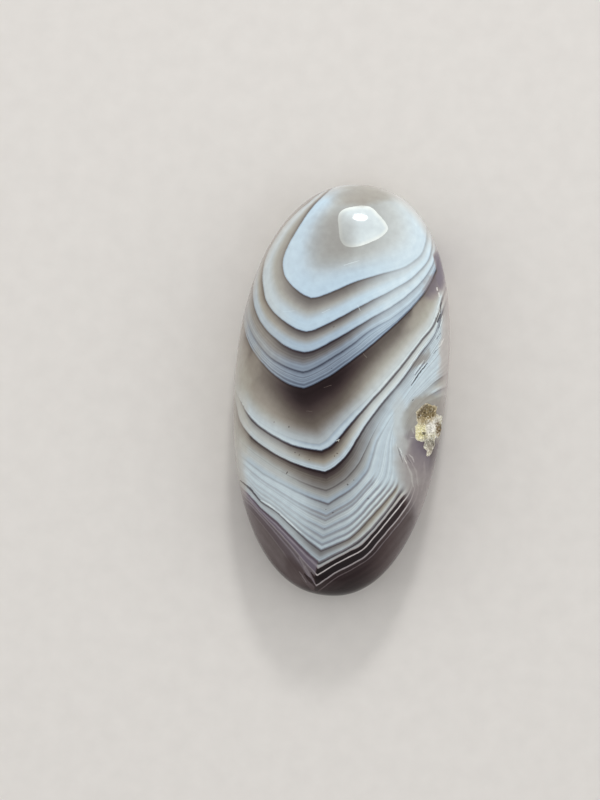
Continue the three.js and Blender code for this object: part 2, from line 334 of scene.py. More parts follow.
LAYERS = [
    Layer(EYE_RIM, (0.83, 0.84, 0.9, 0.3), (0.82, 0.86, 0.93, 0.3), (0.82, 0.83, 0.86, 0.3),
          (0.5, 0.5, 0.5), (0, 0.6, 0.65, 1), (0, 0, 0), 0, 0),
    Layer(HEART_EDGE, (0.72, 0.75, 0.8, 0.8), (0.66, 0.72, 0.81, 1), (0.78, 0.8, 0.86, 0.8),
          (0.35, 0.3, 0.4), (0, 0.5, 0.2, 0.9), (0.1, 0.3, 0.1), 0, 0.06),
    Layer(FIRST_EDGE, (0.58, 0.65, 0.77, 0.5), (0.4, 0.64, 0.81, 1), (0.77, 0.83, 0.88, 0.9),
          (0.1, 0.2, 0.6), (0.04, 0.5, 0.35, 0.75), (0.25, 0.35, 0.1), 0, 0.08),
    Layer(SECOND_EDGE, (0.5, 0.62, 0.72, 0.6), (0.32, 0.6, 0.73, 1), (0.7, 0.83, 0.87, 0.85),
          (0, 0.25, 0.6), (0, 0.5, 0.35, 0.75), (0.2, 0.4, 0.1), 0, 0.1),
    Layer(THIRD_EDGE, (0.48, 0.55, 0.62, 0.4), (0.24, 0.44, 0.57, 0.9), (0.67, 0.75, 0.81, 0.85),
          (0.1, 0.3, 0.7), (0, 0.55, 0.35, 0.8), (0.2, 0.35, 0.1), 0, 0.3),
    Layer(DARK_EDGE, (0.62, 0.64, 0.58, 0.6), (0.44, 0.55, 0.46, 1), (0.74, 0.76, 0.62, 1),
          (0.6, 0.9, 0.9), (0, 0.3, 0.4, 1), (0.2, 0.5, 0.5), 0, 0.9),
    Layer(FAINT_EDGE, (0.42, 0.61, 0.79, 0.6), (0.12, 0.42, 0.73, 0.6), (0.36, 0.73, 0.82, 0.45),
          (-0.05, 0.05, 0.1), (0.12, 0.85, 0.65, 1.02), (0.05, 0.12, 0.05), 0, 0.08),
    Layer(CREAM_EDGE, (0.84, 0.84, 0.77, 0.6), (0.78, 0.81, 0.75, 0.85), (0.9, 0.91, 0.84, 0.5),
          (0.6, 0.8, 0.5), (0, 0.5, 0.5, 1), (0.6, 1, 0.6), 0.1, 0.2),
    Layer(INK_EDGE, (0.52, 0.73, 0.78, 0.5), (0.22, 0.58, 0.77, 0.75), (0.66, 0.83, 0.88, 0.6),
          (0.3, 0, 0.35), (0, 0.6, 0.5, 0.85), (0.5, 1, 0.6), 0.1, 0.2, NEAR_RIGHT),
    Layer(MAUVE_EDGE, (0.34, 0.56, 0.67, 0.3), (0.16, 0.4, 0.51, 0.3), (0.6, 0.62, 0.7, 0.6),
          (0.1, 0.1, 0.5), (0, 0.65, 0.5, 1), (0, 0.12, 0), 0, 0.3, NEAR_RIGHT),
    Layer(GREY_EDGE, (0.7, 0.75, 0.78, 0.7), (0.46, 0.63, 0.7, 0.8), (0.76, 0.81, 0.87, 0.8),
          (0.35, 0.3, 0.6), (0, 0.5, 0.4, 0.9), (0.15, 0.4, 0.3), 0.2, 0.3),
    fan_layer(0.25, (0.8, 0.83, 0.82, 0.7), (0.52, 0.68, 0.71, 0.8), (0.78, 0.84, 0.83, 0.75),
              (0.65, 0.5, 0.6), (0.1, 0.3, 0.4)),
    fan_layer(0.34, (0.75, 0.8, 0.86, 0.7), (0.6, 0.68, 0.71, 0.75), (0.78, 0.85, 0.82, 0.8),
              (0.65, 0.5, 0.6), (0.1, 0.25, 0.4)),
    fan_layer(0.545, (0.82, 0.83, 0.85, 0.7), (0.6, 0.74, 0.74, 0.8), (0.8, 0.88, 0.84, 0.75),
              (0.65, 0.5, 0.6), (0.1, 0.3, 0.45)),
    fan_layer(0.72, (0.83, 0.82, 0.82, 0.7), (0.69, 0.76, 0.72, 0.8), (0.82, 0.89, 0.82, 0.75),
              (0.65, 0.6, 0.6), (0.1, 0.3, 0.5)),
    fan_layer(0.87, (0.79, 0.83, 0.83, 0.7), (0.68, 0.75, 0.76, 0.8), (0.78, 0.86, 0.86, 0.65),
              (0.6, 0.6, 0.5), (0.15, 0.35, 0.5)),
    Layer(WHITE_EDGE, (0.8, 0.83, 0.86, 0.6), (0.71, 0.79, 0.77, 0.8), (0.76, 0.87, 0.89, 0.6),
          (0.6, 0.7, 0.4), (0, 0.5, 0.7, 1), (0.5, 0.7, 0.7), 0.4, 0.3, FAN_ARMS),
    Layer(between(WHITE_EDGE, LILAC_EDGE, 0.69), (0.6, 0.73, 0.74, 0.6), (0.42, 0.58, 0.74, 0.7),
          (0.42, 0.66, 0.82, 0.35), (0.5, 0.4, 0), (0, 0.6, 0.4, 0.9), (0.5, 0.9, 0.9), 0.5, 0.2, FAN_ARMS),
    Layer(LILAC_EDGE, (0.44, 0.42, 0.53, -1), (0.28, 0.4, 0.78, 0.4), (0.14, 0.26, 0.84, -0.2),
          (-1, 0.4, 0.2), (0, 0.45, 0.45, 0.8), (0.1, 1, 1), 0.8, 0.1, CLOSE_ARMS),
    Layer(between(LILAC_EDGE, LAST_PALE_EDGE, 0.41), (0.4, 0.4, 0.48, -1), (0.1, 0.08, 0.1, -0.3),
          (0.14, 0.14, 0.18, -0.5), (-1, -0.3, -0.3), (0, 0.5, 0.8, 1), (0, 1, 1), 1, 0.1, CLOSE_ARMS),
    Layer(LAST_PALE_EDGE, (0.4, 0.37, 0.43, -1), (0.08, 0.08, 0.1, -0.4), (0.16, 0.16, 0.16, -0.5),
          (-0.6, -0.4, -0.4), (0, 0.5, 0.85, 1), (0, 0.3, 0.2), 0.75, 0.1, CLOSE_ARMS),
    Layer(OUTER_EDGE, (0.38, 0.34, 0.33, -0.5), (0.2, 0.16, 0.14, -0.4), (0.3, 0.32, 0.34, -0.4),
          (-0.6, -0.4, -0.4), (0, 0.5, 0.6, 1), (0, 0.1, 0.1), 0.3, 0.15, CLOSE_ARMS),
    Layer(None, (0.36, 0.34, 0.32, -0.3), (0.16, 0.12, 0.08, -0.5), (0.3, 0.3, 0.3, -0.4),
          (-0.4, -0.4, -0.4), (0, 0.3, 0.3, 1), (0, 0, 0), 0, 0.25, (0.01, 0.25, 0.4, 0.95)),
]

# The line through the tips, and how far from it an arm has its full look.
SPINE = [(345, 180), (311, 298), (304, 370), (304, 388), (321, 450), (328, 503), (321, 550), (318, 568),
         (316, 577), (316, 600)]
ARM_REACH = 5.0

# How far every arm runs on in a straight line beyond the polished top.
ARM_OVERRUN = 6.0

# How far inwards the innermost layer and outwards the outermost one run through their colours.
EYE_DEPTH = 0.8
RIND_DEPTH = 2.6

# The thinnest that a layer is taken to be where two edges meet.
THINNEST = 0.02

# The count of edges rises along a curve: its steepest start or end, its slowest pace, and how near it comes
# to the next edge before it passes that.
STEEPEST = 2.5
SLOWEST = 0.05
ALMOST_ONE = 0.9999

# How far out a point on the crest counts as, when its distance to the girdle is worked out.
CREST_REACH = 0.01

# The layers slant as they go down into the stone: how far they move in plan for each millimetre.
LAYER_SLANT = (0.16, -0.34)


def smooth_curve(points, step=0.08, closed=False):
    """A Catmull-Rom curve through the points, cut into steps of about the given length."""
    points = np.array(points, float)
    if closed:
        ends = np.vstack([points[-1:], points, points[:2]])
    else:
        ends = np.vstack([2 * points[0] - points[1], points, 2 * points[-1] - points[-2]])
    made = []
    for a, b, c, d in zip(ends, ends[1:], ends[2:], ends[3:]):
        count = max(2, int(np.linalg.norm(c - b) / step))
        t = np.linspace(0, 1, count, endpoint=False)[:, None]
        made.append(0.5 * (2 * b + (c - a) * t + (2 * a - 5 * b + 4 * c - d) * t ** 2
                           + (3 * b - a - 3 * c + d) * t ** 3))
    made.append(points[:1] if closed else points[-1:])
    return np.vstack(made)


def edge_curve(edge):
    """An edge in plan, from its left end over its tip to its right end, and whether it is closed."""
    if isinstance(edge, list):
        return smooth_curve([from_photo(*p) for p in edge], closed=True), True
    arms = []
    for arm in (edge[0], edge[2]):
        curve = smooth_curve([from_photo(*p) for p in [edge[1], *arm]])
        onward = curve[-1] - curve[-3]
        arms.append(np.vstack([curve, curve[-1] + onward / np.linalg.norm(onward) * ARM_OVERRUN]))
    return np.vstack([arms[0][::-1], arms[1][1:]]), False


def distance_to(curve, spots):
    """The distance from each spot to the nearest point of a curve."""
    starts, steps = curve[:-1], np.diff(curve, axis=0)
    lengths = (steps ** 2).sum(1)
    best = np.full(len(spots), np.inf)
    for start, step, length in zip(starts, steps, lengths):
        away = spots - start
        along = np.clip(away @ step / max(length, 1e-12), 0, 1)
        gap = away - along[:, None] * step
        best = np.minimum(best, np.einsum("ij,ij->i", gap, gap))
    return np.sqrt(best)


def is_inside(outline, spots):
    """Whether each spot lies inside a closed outline."""
    inside = np.zeros(len(spots), bool)
    for (x0, y0), (x1, y1) in zip(outline, np.roll(outline, -1, axis=0)):
        if y0 == y1:
            continue
        crosses = (y0 > spots[:, 1]) != (y1 > spots[:, 1])
        at = x0 + (spots[:, 1] - y0) * (x1 - x0) / (y1 - y0)
        inside ^= crosses & (spots[:, 0] < at)
    return inside


def growth_layers(spots):
    """How many edges lie inside each spot of the plan, and on which side of the tips the spot is.

    The count runs on smoothly from edge to edge. With it go its pace per millimetre and an even count.
    """
    far = 60.0
    corners = np.array([(far, far), (-far, far)])
    passed = np.zeros(len(spots), int)
    gaps = []
    for layer in LAYERS[:-1]:
        curve, closed = edge_curve(layer.edge)
        outline = curve if closed else np.vstack([curve, corners])
        passed += ~is_inside(outline, spots)
        gaps.append(distance_to(curve, spots))
    gaps = np.array(gaps)
    last = len(gaps)
    spot = np.arange(len(spots))

    def gap(edge):
        return gaps[np.clip(edge, 0, last - 1), spot]

    before = np.where(passed == 0, np.maximum(EYE_DEPTH - gap(passed), 0), gap(passed - 1))
    after = np.where(passed == last, np.maximum(RIND_DEPTH - before, 0), gap(passed))
    thickness = np.maximum(before + after, THINNEST)
    inner = np.where(passed > 1, np.maximum(gap(passed - 2) - before, THINNEST), thickness)
    outer = np.where(passed < last - 1, np.maximum(gap(passed + 1) - after, THINNEST), thickness)
    share = np.clip(before / thickness, 0, ALMOST_ONE)
    start, end = (np.minimum(np.sqrt(thickness / beyond), STEEPEST * np.minimum(1, thickness / beyond))
                  for beyond in (inner, outer))
    rest = 1 - share
    smooth = share ** 2 * (3 - 2 * share) + start * share * rest ** 2 - end * share ** 2 * rest
    pace = 6 * share * rest + start * rest * (1 - 3 * share) + end * share * (3 * share - 2)
    spine = np.array([from_photo(*p) for p in SPINE])[::-1]
    side = spots[:, 0] - np.interp(spots[:, 1], spine[:, 1], spine[:, 0])
    smooth = np.clip(smooth, 0, ALMOST_ONE)
    counts = np.column_stack([passed + smooth, np.maximum(pace, SLOWEST) / thickness, passed + share])
    return counts, np.clip(side / ARM_REACH, -1, 1)


def operator(operation, reflected=False):
    """A Python operator on a value and another one, as a Math node."""
    def apply(self, other):
        terms = (other, self) if reflected else (self, other)
        return self.calculated(operation, *terms)
    return apply


class Value:
    """A shader socket that works in Python arithmetic: each operation adds its Math node."""

    __add__, __radd__ = operator("ADD"), operator("ADD", reflected=True)
    __sub__, __rsub__ = operator("SUBTRACT"), operator("SUBTRACT", reflected=True)
    __mul__, __rmul__ = operator("MULTIPLY"), operator("MULTIPLY", reflected=True)
    __truediv__, __rtruediv__ = operator("DIVIDE"), operator("DIVIDE", reflected=True)
    larger, smaller = operator("MAXIMUM"), operator("MINIMUM")

    def __init__(self, finish, socket):
        self.finish = finish
        self.socket = socket

    def output(self, name):
        return Value(self.finish, self.socket.node.outputs[name])

    def calculated(self, operation, *terms):
        sockets = dict(enumerate(terms))
        return self.finish.node("ShaderNodeMath", {"operation": operation}, sockets)

    def floor(self):
        return self.calculated("FLOOR", self)

    def fraction(self):
        return self.calculated("FRACT", self)


class Nodes:
    """A shader tree, and the nodes that are added to it."""

    def __init__(self, owner, shader):
        owner.use_nodes = True
        self.tree = owner.node_tree
        self.shader = self.tree.nodes[shader]

    def node(self, kind, settings=None, sockets=None, output=0):
        """Adds a node, its settings first and then the values or links of its sockets. Gives one output."""
        made = self.tree.nodes.new(kind)
        for name, value in (settings or {}).items():
            if name == "stops":
                self.set_stops(made.color_ramp, value)
            elif name == "interpolation":
                made.color_ramp.interpolation = value
            else:
                setattr(made, name, value)
        for name, value in (sockets or {}).items():
            if isinstance(value, Value):
                self.tree.links.new(value.socket, made.inputs[name])
            else:
                made.inputs[name].default_value = value
        return Value(self, made.outputs[output])

    @staticmethod
    def set_stops(ramp, stops):
        while len(ramp.elements) < len(stops):
            ramp.elements.new(1.0)
        for element, (place, colour) in zip(ramp.elements, stops):
            element.position = place
            element.color = colour if len(colour) == 4 else (*colour, 1.0)

    def separate(self, vector):
        parts = self.node("ShaderNodeSeparateXYZ", {}, {0: vector})
        return parts, parts.output("Y"), parts.output("Z")

    def feed(self, socket, value):
        self.tree.links.new(value.socket, self.shader.inputs[socket])

    def attribute(self, name, output="Vector"):
        return self.node("ShaderNodeAttribute", {"attribute_name": name}).output(output)

    def ramp(self, factor, stops, interpolation="LINEAR"):
        settings = {"stops": stops, "interpolation": interpolation}
        return self.node("ShaderNodeValToRGB", settings, {"Fac": factor})

    def mix(self, factor, first, second, blend="MIX"):
        """One colour turning into another, or another blend of the two."""
        colours = [c if isinstance(c, Value) else (*c, 1.0) for c in (first, second)]
        settings = {"data_type": "RGBA", "blend_type": blend, "clamp_factor": True}
        return self.node("ShaderNodeMix", settings, {0: factor, 6: colours[0], 7: colours[1]}, output=2)

    def rise(self, value, start, end):
        """0 up to `start`, 1 from `end` on, and a smooth rise between them."""
        return self.node("ShaderNodeMapRange", {"interpolation_type": "SMOOTHSTEP"},
                         {"Value": value, "From Min": start, "From Max": end})

    def vector(self, operation, *terms, output=0):
        return self.node("ShaderNodeVectorMath", {"operation": operation}, dict(enumerate(terms)), output)

    def speckle(self, place, scale, detail, kind="3D"):
        return self.node("ShaderNodeTexNoise", {"noise_dimensions": kind},
                         {"W" if kind == "1D" else "Vector": place, "Scale": scale, "Detail": detail})

    def grain(self, place, grain, kind="3D"):
        """Noise round zero."""
        return (self.speckle(place, grain.scale, grain.detail, kind) - 0.5) * grain.size

    def loosened(self, place, grain):
        """A place in plan that wanders, so that what is drawn there has an uneven edge."""
        drift = self.speckle(place, grain.scale, grain.detail).output("Color")
        drift = self.vector("SUBTRACT", drift, (0.5, 0.5, 0.5))
        return self.vector("MULTIPLY_ADD", drift, (grain.size, grain.size, 0), self.flat(place))

    def flat(self, place):
        return self.vector("MULTIPLY", place, (1, 1, 0))

    def spot(self, place, centre, half, turn=0.0, soft=0.5):
        """A soft oval mask of the plan: 1 inside it, 0 outside."""
        cos, sin = math.cos(turn), math.sin(turn)
        away = self.vector("SUBTRACT", place, (*centre, 0))
        across = self.vector("DOT_PRODUCT", away, (cos / half[0], sin / half[0], 0), output="Value")
        along = self.vector("DOT_PRODUCT", away, (-sin / half[1], cos / half[1], 0), output="Value")
        return 1 - self.rise(across * across + along * along, (1 - soft) ** 2, (1 + soft) ** 2)

    def patch(self, place, patch, soft=0.5):
        """The mask of a patch that is given by its place and size in the photograph."""
        half = [size * MM_PER_PIXEL for size in patch.half]
        turn = math.radians(patch.turn) + STONE_LEAN
        return self.spot(place, from_photo(*patch.centre), half, turn, soft)

    def stroke(self, place, start, end, width, from_tip=0.0, to_tip=0.0):
        """A soft straight mark between two pixels of the photograph, thinner by a share at either end."""
        start, end = from_photo(*start), from_photo(*end)
        width *= MM_PER_PIXEL
        run = end - start
        away = self.vector("SUBTRACT", place, (*start, 0))
        share = self.vector("DOT_PRODUCT", away, (*(run / (run @ run)), 0), output="Value")
        share = share.larger(0.0).smaller(1.0)
        nearest = self.node("ShaderNodeVectorMath", {"operation": "SCALE"}, {0: (*run, 0), "Scale": share})
        gap = self.vector("DISTANCE", away, nearest, output="Value")
        if from_tip or to_tip:
            gap = gap / (1 - from_tip + share * (from_tip - to_tip))
        return 1 - self.rise(gap, width * SOFT_CORE, width)


class Finish(Nodes):
    """A material made of nodes round one Principled shader."""

    def __init__(self, name, **settings):
        self.material = bpy.data.materials.new(name)
        super().__init__(self.material, "Principled BSDF")
        for socket, value in settings.items():
            self.shader.inputs[socket.replace("_", " ")].default_value = value


# The agate's colours by tone, from 0 to 1: where it is cool, where it is warm and where it is mauve.
COOL_TONES = [
    (0.05, rgb(10, 9, 15)), (0.16, rgb(38, 40, 52)), (0.25, rgb(58, 63, 78)), (0.35, rgb(80, 89, 104)),
    (0.45, rgb(104, 115, 131)), (0.55, rgb(126, 140, 157)), (0.65, rgb(149, 166, 183)),
    (0.75, rgb(173, 192, 207)), (0.85, rgb(196, 217, 230)), (1.0, rgb(240, 252, 255)),
]
WARM_TONES = [
    (0.05, rgb(16, 9, 11)), (0.16, rgb(50, 40, 40)), (0.25, rgb(74, 63, 60)), (0.35, rgb(97, 88, 80)),
    (0.45, rgb(122, 114, 104)), (0.55, rgb(147, 140, 129)), (0.65, rgb(170, 166, 154)),
    (0.75, rgb(194, 192, 181)), (0.85, rgb(217, 217, 207)), (1.0, rgb(250, 252, 244)),
]
MAUVE_TONES = [
    (0.05, rgb(16, 9, 12)), (0.16, rgb(54, 40, 42)), (0.25, rgb(78, 63, 66)), (0.35, rgb(98, 87, 97)),
    (0.45, rgb(120, 112, 124)), (0.55, rgb(148, 139, 147)), (0.65, rgb(174, 166, 170)),
    (0.75, rgb(198, 190, 190)), (1.0, rgb(255, 250, 248)),
]

# Noise: its scale, its detail and how strong it is.
Grain = namedtuple("Grain", "scale detail size")

# How rough the polish is, at least and by its grain, and how strongly it mirrors. Then the same for the
# broken agate of the pit's wall, with its tones, and for the quartz crust. The wall's grain is in metres.
POLISH_ROUGHNESS, POLISH_GRAIN = 0.05, Grain(14.0, 3.0, 0.05)
POLISH_MIRROR = 0.12
WALL_ROUGHNESS, WALL_GRAIN = 0.35, Grain(9000.0, 4.0, 0.3)
WALL_TONES = [(0.3, rgb(140, 138, 132)), (0.7, rgb(214, 214, 206))]
DRUSE_ROUGHNESS, DRUSE_GRAIN = 0.15, Grain(9.0, 4.0, 0.4)

# The share of the width of a soft mark or speck that has its full strength.
SOFT_CORE = 0.4

# How the layers wander from their edges, how their own fine lines vary them, and the clouds all over the
# stone.
WANDER = Grain(1.3, 2.0, 0.06)
TREMBLE = Grain(9.0, 3.0, 0.025)
FINE_LINES = Grain(9.0, 4.0, 0.5)
CLOUDS = Grain(2.5, 5.0, 0.12)

# How the outlines of stains and of marks wander, and how worn the marks are.
STAIN_DRIFT = Grain(0.9, 2.0, 0.8)
MARK_DRIFT = Grain(5.0, 2.0, 0.07)
MARK_WEAR = Grain(9.0, 2.0, 1.0)

# The dark lines: their tone, and how far they reach past an edge and before it, from full to nothing. On
# the left arm they fade by a share towards the flank.
INK_TONE = 0.07
INK_PAST = (0.02, 0.14)
INK_BEFORE = (0.0, 0.08)
INK_FADE = 0.8
INK_FADE_WIDTH = 1.2

# The pale rims of the last layers: their tone and mauve part, how far they reach before an edge and past
# it, and their strength on the left arm, at the tip and on the right arm.
RIM_TONE = 0.86
RIM_MAUVE = 0.85
RIM_BEFORE = (0.0, 0.03)
RIM_PAST = (0.03, 0.09)
RIM_STRENGTH = (0.25, 0.9, 1.0)

# The flank, with painted light that shines through the thin stone: how wide it is, how much it shows, its
# tone from the -Y end, darker away from the light, to the +Y end, paler towards it, and its mauve part.
FLANK_WIDTH = 0.65
FLANK_LIGHT_STRENGTH = 0.6
FLANK_LIGHT_TONES = [(0.0, 0.06), (0.05, 0.12), (0.12, 0.36), (0.3, 0.53), (0.5, 0.6), (1.0, 0.76)]
FLANK_LIGHT_MAUVE = 0.5

# Clouds and stains in the agate that don't follow the layers: centre and half sizes in pixels of the
# photograph, a turn in degrees, softness, tone, hue and strength.
Stain = namedtuple("Stain", "centre half turn soft tone hue strength")
STAINS = [
    Stain((361, 195), (25, 8), 0, 0.6, 0.58, -0.1, 0.7),
    Stain((330, 241), (17, 21), -12, 0.85, 0.55, 0.2, 0.6),
    Stain((400, 432), (7, 34), 6, 0.4, 0.79, 0.45, 0.85),
    Stain((431, 417.5), (27, 22.5), 0, 0.2, 0.6, 0.1, 0.9),
    Stain((405, 470), (10, 22), 6, 0.5, 0.79, 0.6, 0.9),
    Stain((419, 456), (8.5, 18), 12, 0.65, 0.34, -1, 0.95),
    Stain((439, 410), (6, 7), 0, 0.6, 0.56, -0.4, 0.6),
    Stain((422, 490), (12, 38), 17, 0.9, 0.57, -0.5, 0.85),
    Stain((421, 311), (6, 20), -38, 0.6, 0.68, 0, 0.6),
    Stain((449.5, 330), (6.5, 58), -4, 0.75, 0.7, -0.6, 0.85),
    Stain((441, 268), (5, 20), 4, 0.4, 0.43, -1, 0.9),
    Stain((434.5, 286), (6.5, 11), -30, 0.7, 0.46, -0.9, 0.75),
    Stain((420.5, 361), (2.6, 8), -33, 0.9, 0.47, -0.1, 0.6),
    Stain((238, 410), (9, 80), 0, 0.6, 0.7, -0.1, 0.55),
    Stain((251, 370), (6, 18), -20, 0.8, 0.6, 0, 0.5),
    Stain((294, 570), (6, 13), 38, 0.6, 0.24, -0.4, 0.65),
]

# Where the layers crowd together and their own fine lines show: centre, half sizes, turn and strength.
Crowd = namedtuple("Crowd", "centre half turn strength")
CROWDS = [
    Crowd((424, 358), (9, 26), -38, 0.9),
    Crowd((440, 318), (4, 20), -12, 1.4),
]

# Short dark and pale marks: a path over pixels of the photograph, its width in pixels, its tone and its
# strength. Both ends are thinner by the share MARK_TAPER.
Mark = namedtuple("Mark", "path width tone strength")
MARK_TAPER = 0.6
MARKS = [
    Mark([(427, 363.5), (418.5, 373.5), (411, 385.5)], 1.2, 0.2, 0.75),
    Mark([(425.5, 363.5), (417.5, 373), (411.5, 382.5)], 1.2, 0.93, 0.65),
    Mark([(424.5, 362), (420, 368), (414.5, 375)], 1.1, 0.34, 0.6),
    Mark([(423.5, 360.5), (419, 366.5), (414, 373.5)], 1.1, 0.92, 0.6),
    Mark([(441, 345.5), (433.5, 353.5)], 1.0, 0.38, 0.6),
    Mark([(443.8, 338.5), (440.6, 345), (436, 350)], 1.1, 0.9, 0.7),
    Mark([(440.5, 333), (436.5, 339)], 1.1, 0.35, 0.6),
    Mark([(440, 329.5), (436, 335)], 0.9, 0.86, 0.6),
    Mark([(440.2, 314.5), (437.5, 322)], 2.6, 0.24, 0.8),
    Mark([(441.5, 320), (438.5, 328)], 1.5, 0.36, 0.7),
    Mark([(442.6, 316), (440.4, 326)], 1.3, 0.94, 0.8),
    Mark([(439.4, 302), (438.8, 309), (436, 317)], 1.3, 0.92, 0.8),
    Mark([(441.4, 302), (440.4, 313)], 1.7, 0.32, 0.7),
    Mark([(437, 288), (437.3, 290)], 2.2, 0.9, 0.9),
    Mark([(438.8, 293), (439.2, 296.5)], 1.8, 0.9, 0.9),
    Mark([(397, 447), (399, 452), (402.5, 462)], 1.3, 0.45, 0.6),
    Mark([(399.5, 448), (402, 455), (406.5, 463)], 1.3, 0.92, 0.6),
    Mark([(405.5, 455), (407.5, 459), (411, 463)], 1.2, 0.42, 0.6),
    Mark([(408.5, 454), (412, 457.5), (414, 462)], 1.2, 0.78, 0.6),
    Mark([(395.8, 444), (398.5, 453)], 1.4, 0.86, 0.4),
    Mark([(401.5, 453), (403.8, 459)], 1.1, 0.45, 0.5),
    Mark([(410, 460), (416, 471), (418, 486)], 1.4, 0.68, 0.4),
    Mark([(406, 463), (411, 474), (413, 487)], 1.6, 0.8, 0.4),
    Mark([(424, 462), (425, 476), (422, 490)], 2.2, 0.62, 0.3),
    Mark([(416.2, 420), (417.2, 414.5), (420.5, 409.3), (425.5, 405.3)], 1.5, 0.76, 0.75),
    Mark([(412, 429), (413.5, 433)], 2.6, 0.74, 0.4),
    Mark([(410.5, 437.3), (414.5, 437.6)], 0.7, 0.85, 0.5),
    Mark([(240, 480.5), (250, 488.5), (260, 500.5)], 1.5, 0.3, 0.7),
    Mark([(261, 500.5), (268, 504), (279, 512.5), (290, 522.5), (301, 532.5)], 1.3, 0.97, 0.6),
    Mark([(299, 557), (306, 569), (315, 584)], 2.2, 0.56, 0.6),
    Mark([(304.5, 574), (310, 580), (315, 586)], 2.6, 0.1, 0.8),
    Mark([(311, 572), (314, 577), (316.4, 582)], 1.6, 0.1, 0.8),
    Mark([(299, 571.5), (303, 577), (306.5, 582.5)], 0.9, 0.56, 0.6),
    Mark([(335.6, 440.9), (339.2, 439.4)], 1.1, 0.94, 0.8),
    Mark([(337.6, 438.6), (338.6, 441.4)], 1.0, 0.9, 0.7),
    Mark([(344, 265.5), (359, 261)], 1.1, 0.95, 0.45),
    Mark([(283, 312), (295, 311)], 1.1, 0.9, 0.35),
    Mark([(322, 313), (330, 309.5)], 1.0, 0.94, 0.45),
    Mark([(357.5, 305.5), (360, 311)], 1.0, 0.94, 0.6),
    Mark([(363, 353.5), (366.5, 357.5)], 1.1, 0.6, 0.45),
    Mark([(324, 387.5), (331, 385.5)], 1.1, 0.5, 0.4),
    Mark([(306.5, 411), (312, 411.5)], 1.0, 0.45, 0.4),
]

# Where the crowded layers turn up beside the pit, their edges are blurred: from pixel to pixel, and how
# wide.
CALM_LINES = [
    ((448, 330), (428, 372), 18), ((428, 372), (409, 402), 20), ((408, 402), (394, 430), 24),
    ((394, 430), (386, 470), 22), ((450, 396), (436, 400), 16), ((436, 400), (412, 416), 14),
    ((412, 416), (408, 440), 14), ((408, 440), (416, 474), 15),
]

# What the calm lines turn the pattern into: a tone, a blue part and soft streaks. A strength goes with the
# first two, and one with how much of the dark lines, pale rims and mauve they take away.
CALM_TONE, CALM_TONE_STRENGTH = 0.82, 0.65
CALM_BLUE, CALM_BLUE_STRENGTH = 0.75, 0.7
CALM_STREAKS = Grain(1.6, 3.0, 0.22)
CALM_BLUR = 0.9

# Dark specks, by pixel of the photograph, with sizes in millimetres that take turns.
SPECKS = [
    (412, 401), (334, 326.5), (342, 352), (332, 367), (273, 424), (288, 428), (296, 451), (300, 454),
    (310, 461), (334, 457.5), (337, 455), (289, 475), (327, 480), (345, 479), (353, 479), (347, 485),
    (327, 508), (334, 512), (325, 529.5), (366, 498),
]
SPECK_SIZES = [0.044, 0.03, 0.038, 0.026, 0.03]
SPECK_TONE = 0.25
SPECK_STRENGTH = 0.7


def turned(value, target, mask):
    """A value that turns into another where the mask is 1."""
    return value + (target - value) * mask


def agate_finish():
    """Polished banded agate. Its tone, blue part and mauve part are worked out first, and coloured last."""
    finish = Finish("banded agate", IOR=QUARTZ_IOR, Specular_IOR_Level=POLISH_MIRROR)
    place = finish.attribute("plan")
    tone, blue, mauve = drawn_over(finish, place, *layer_pattern(finish, place))
    tone = tone * (1 + finish.grain(place, CLOUDS))
    colour = finish.mix(blue, finish.ramp(tone, WARM_TONES), finish.ramp(tone, COOL_TONES))
    finish.feed("Base Color", finish.mix(mauve, colour, finish.ramp(tone, MAUVE_TONES)))
    grain = finish.speckle(place, POLISH_GRAIN.scale, POLISH_GRAIN.detail)
    finish.feed("Roughness", POLISH_ROUGHNESS + grain * POLISH_GRAIN.size)
    return finish.material


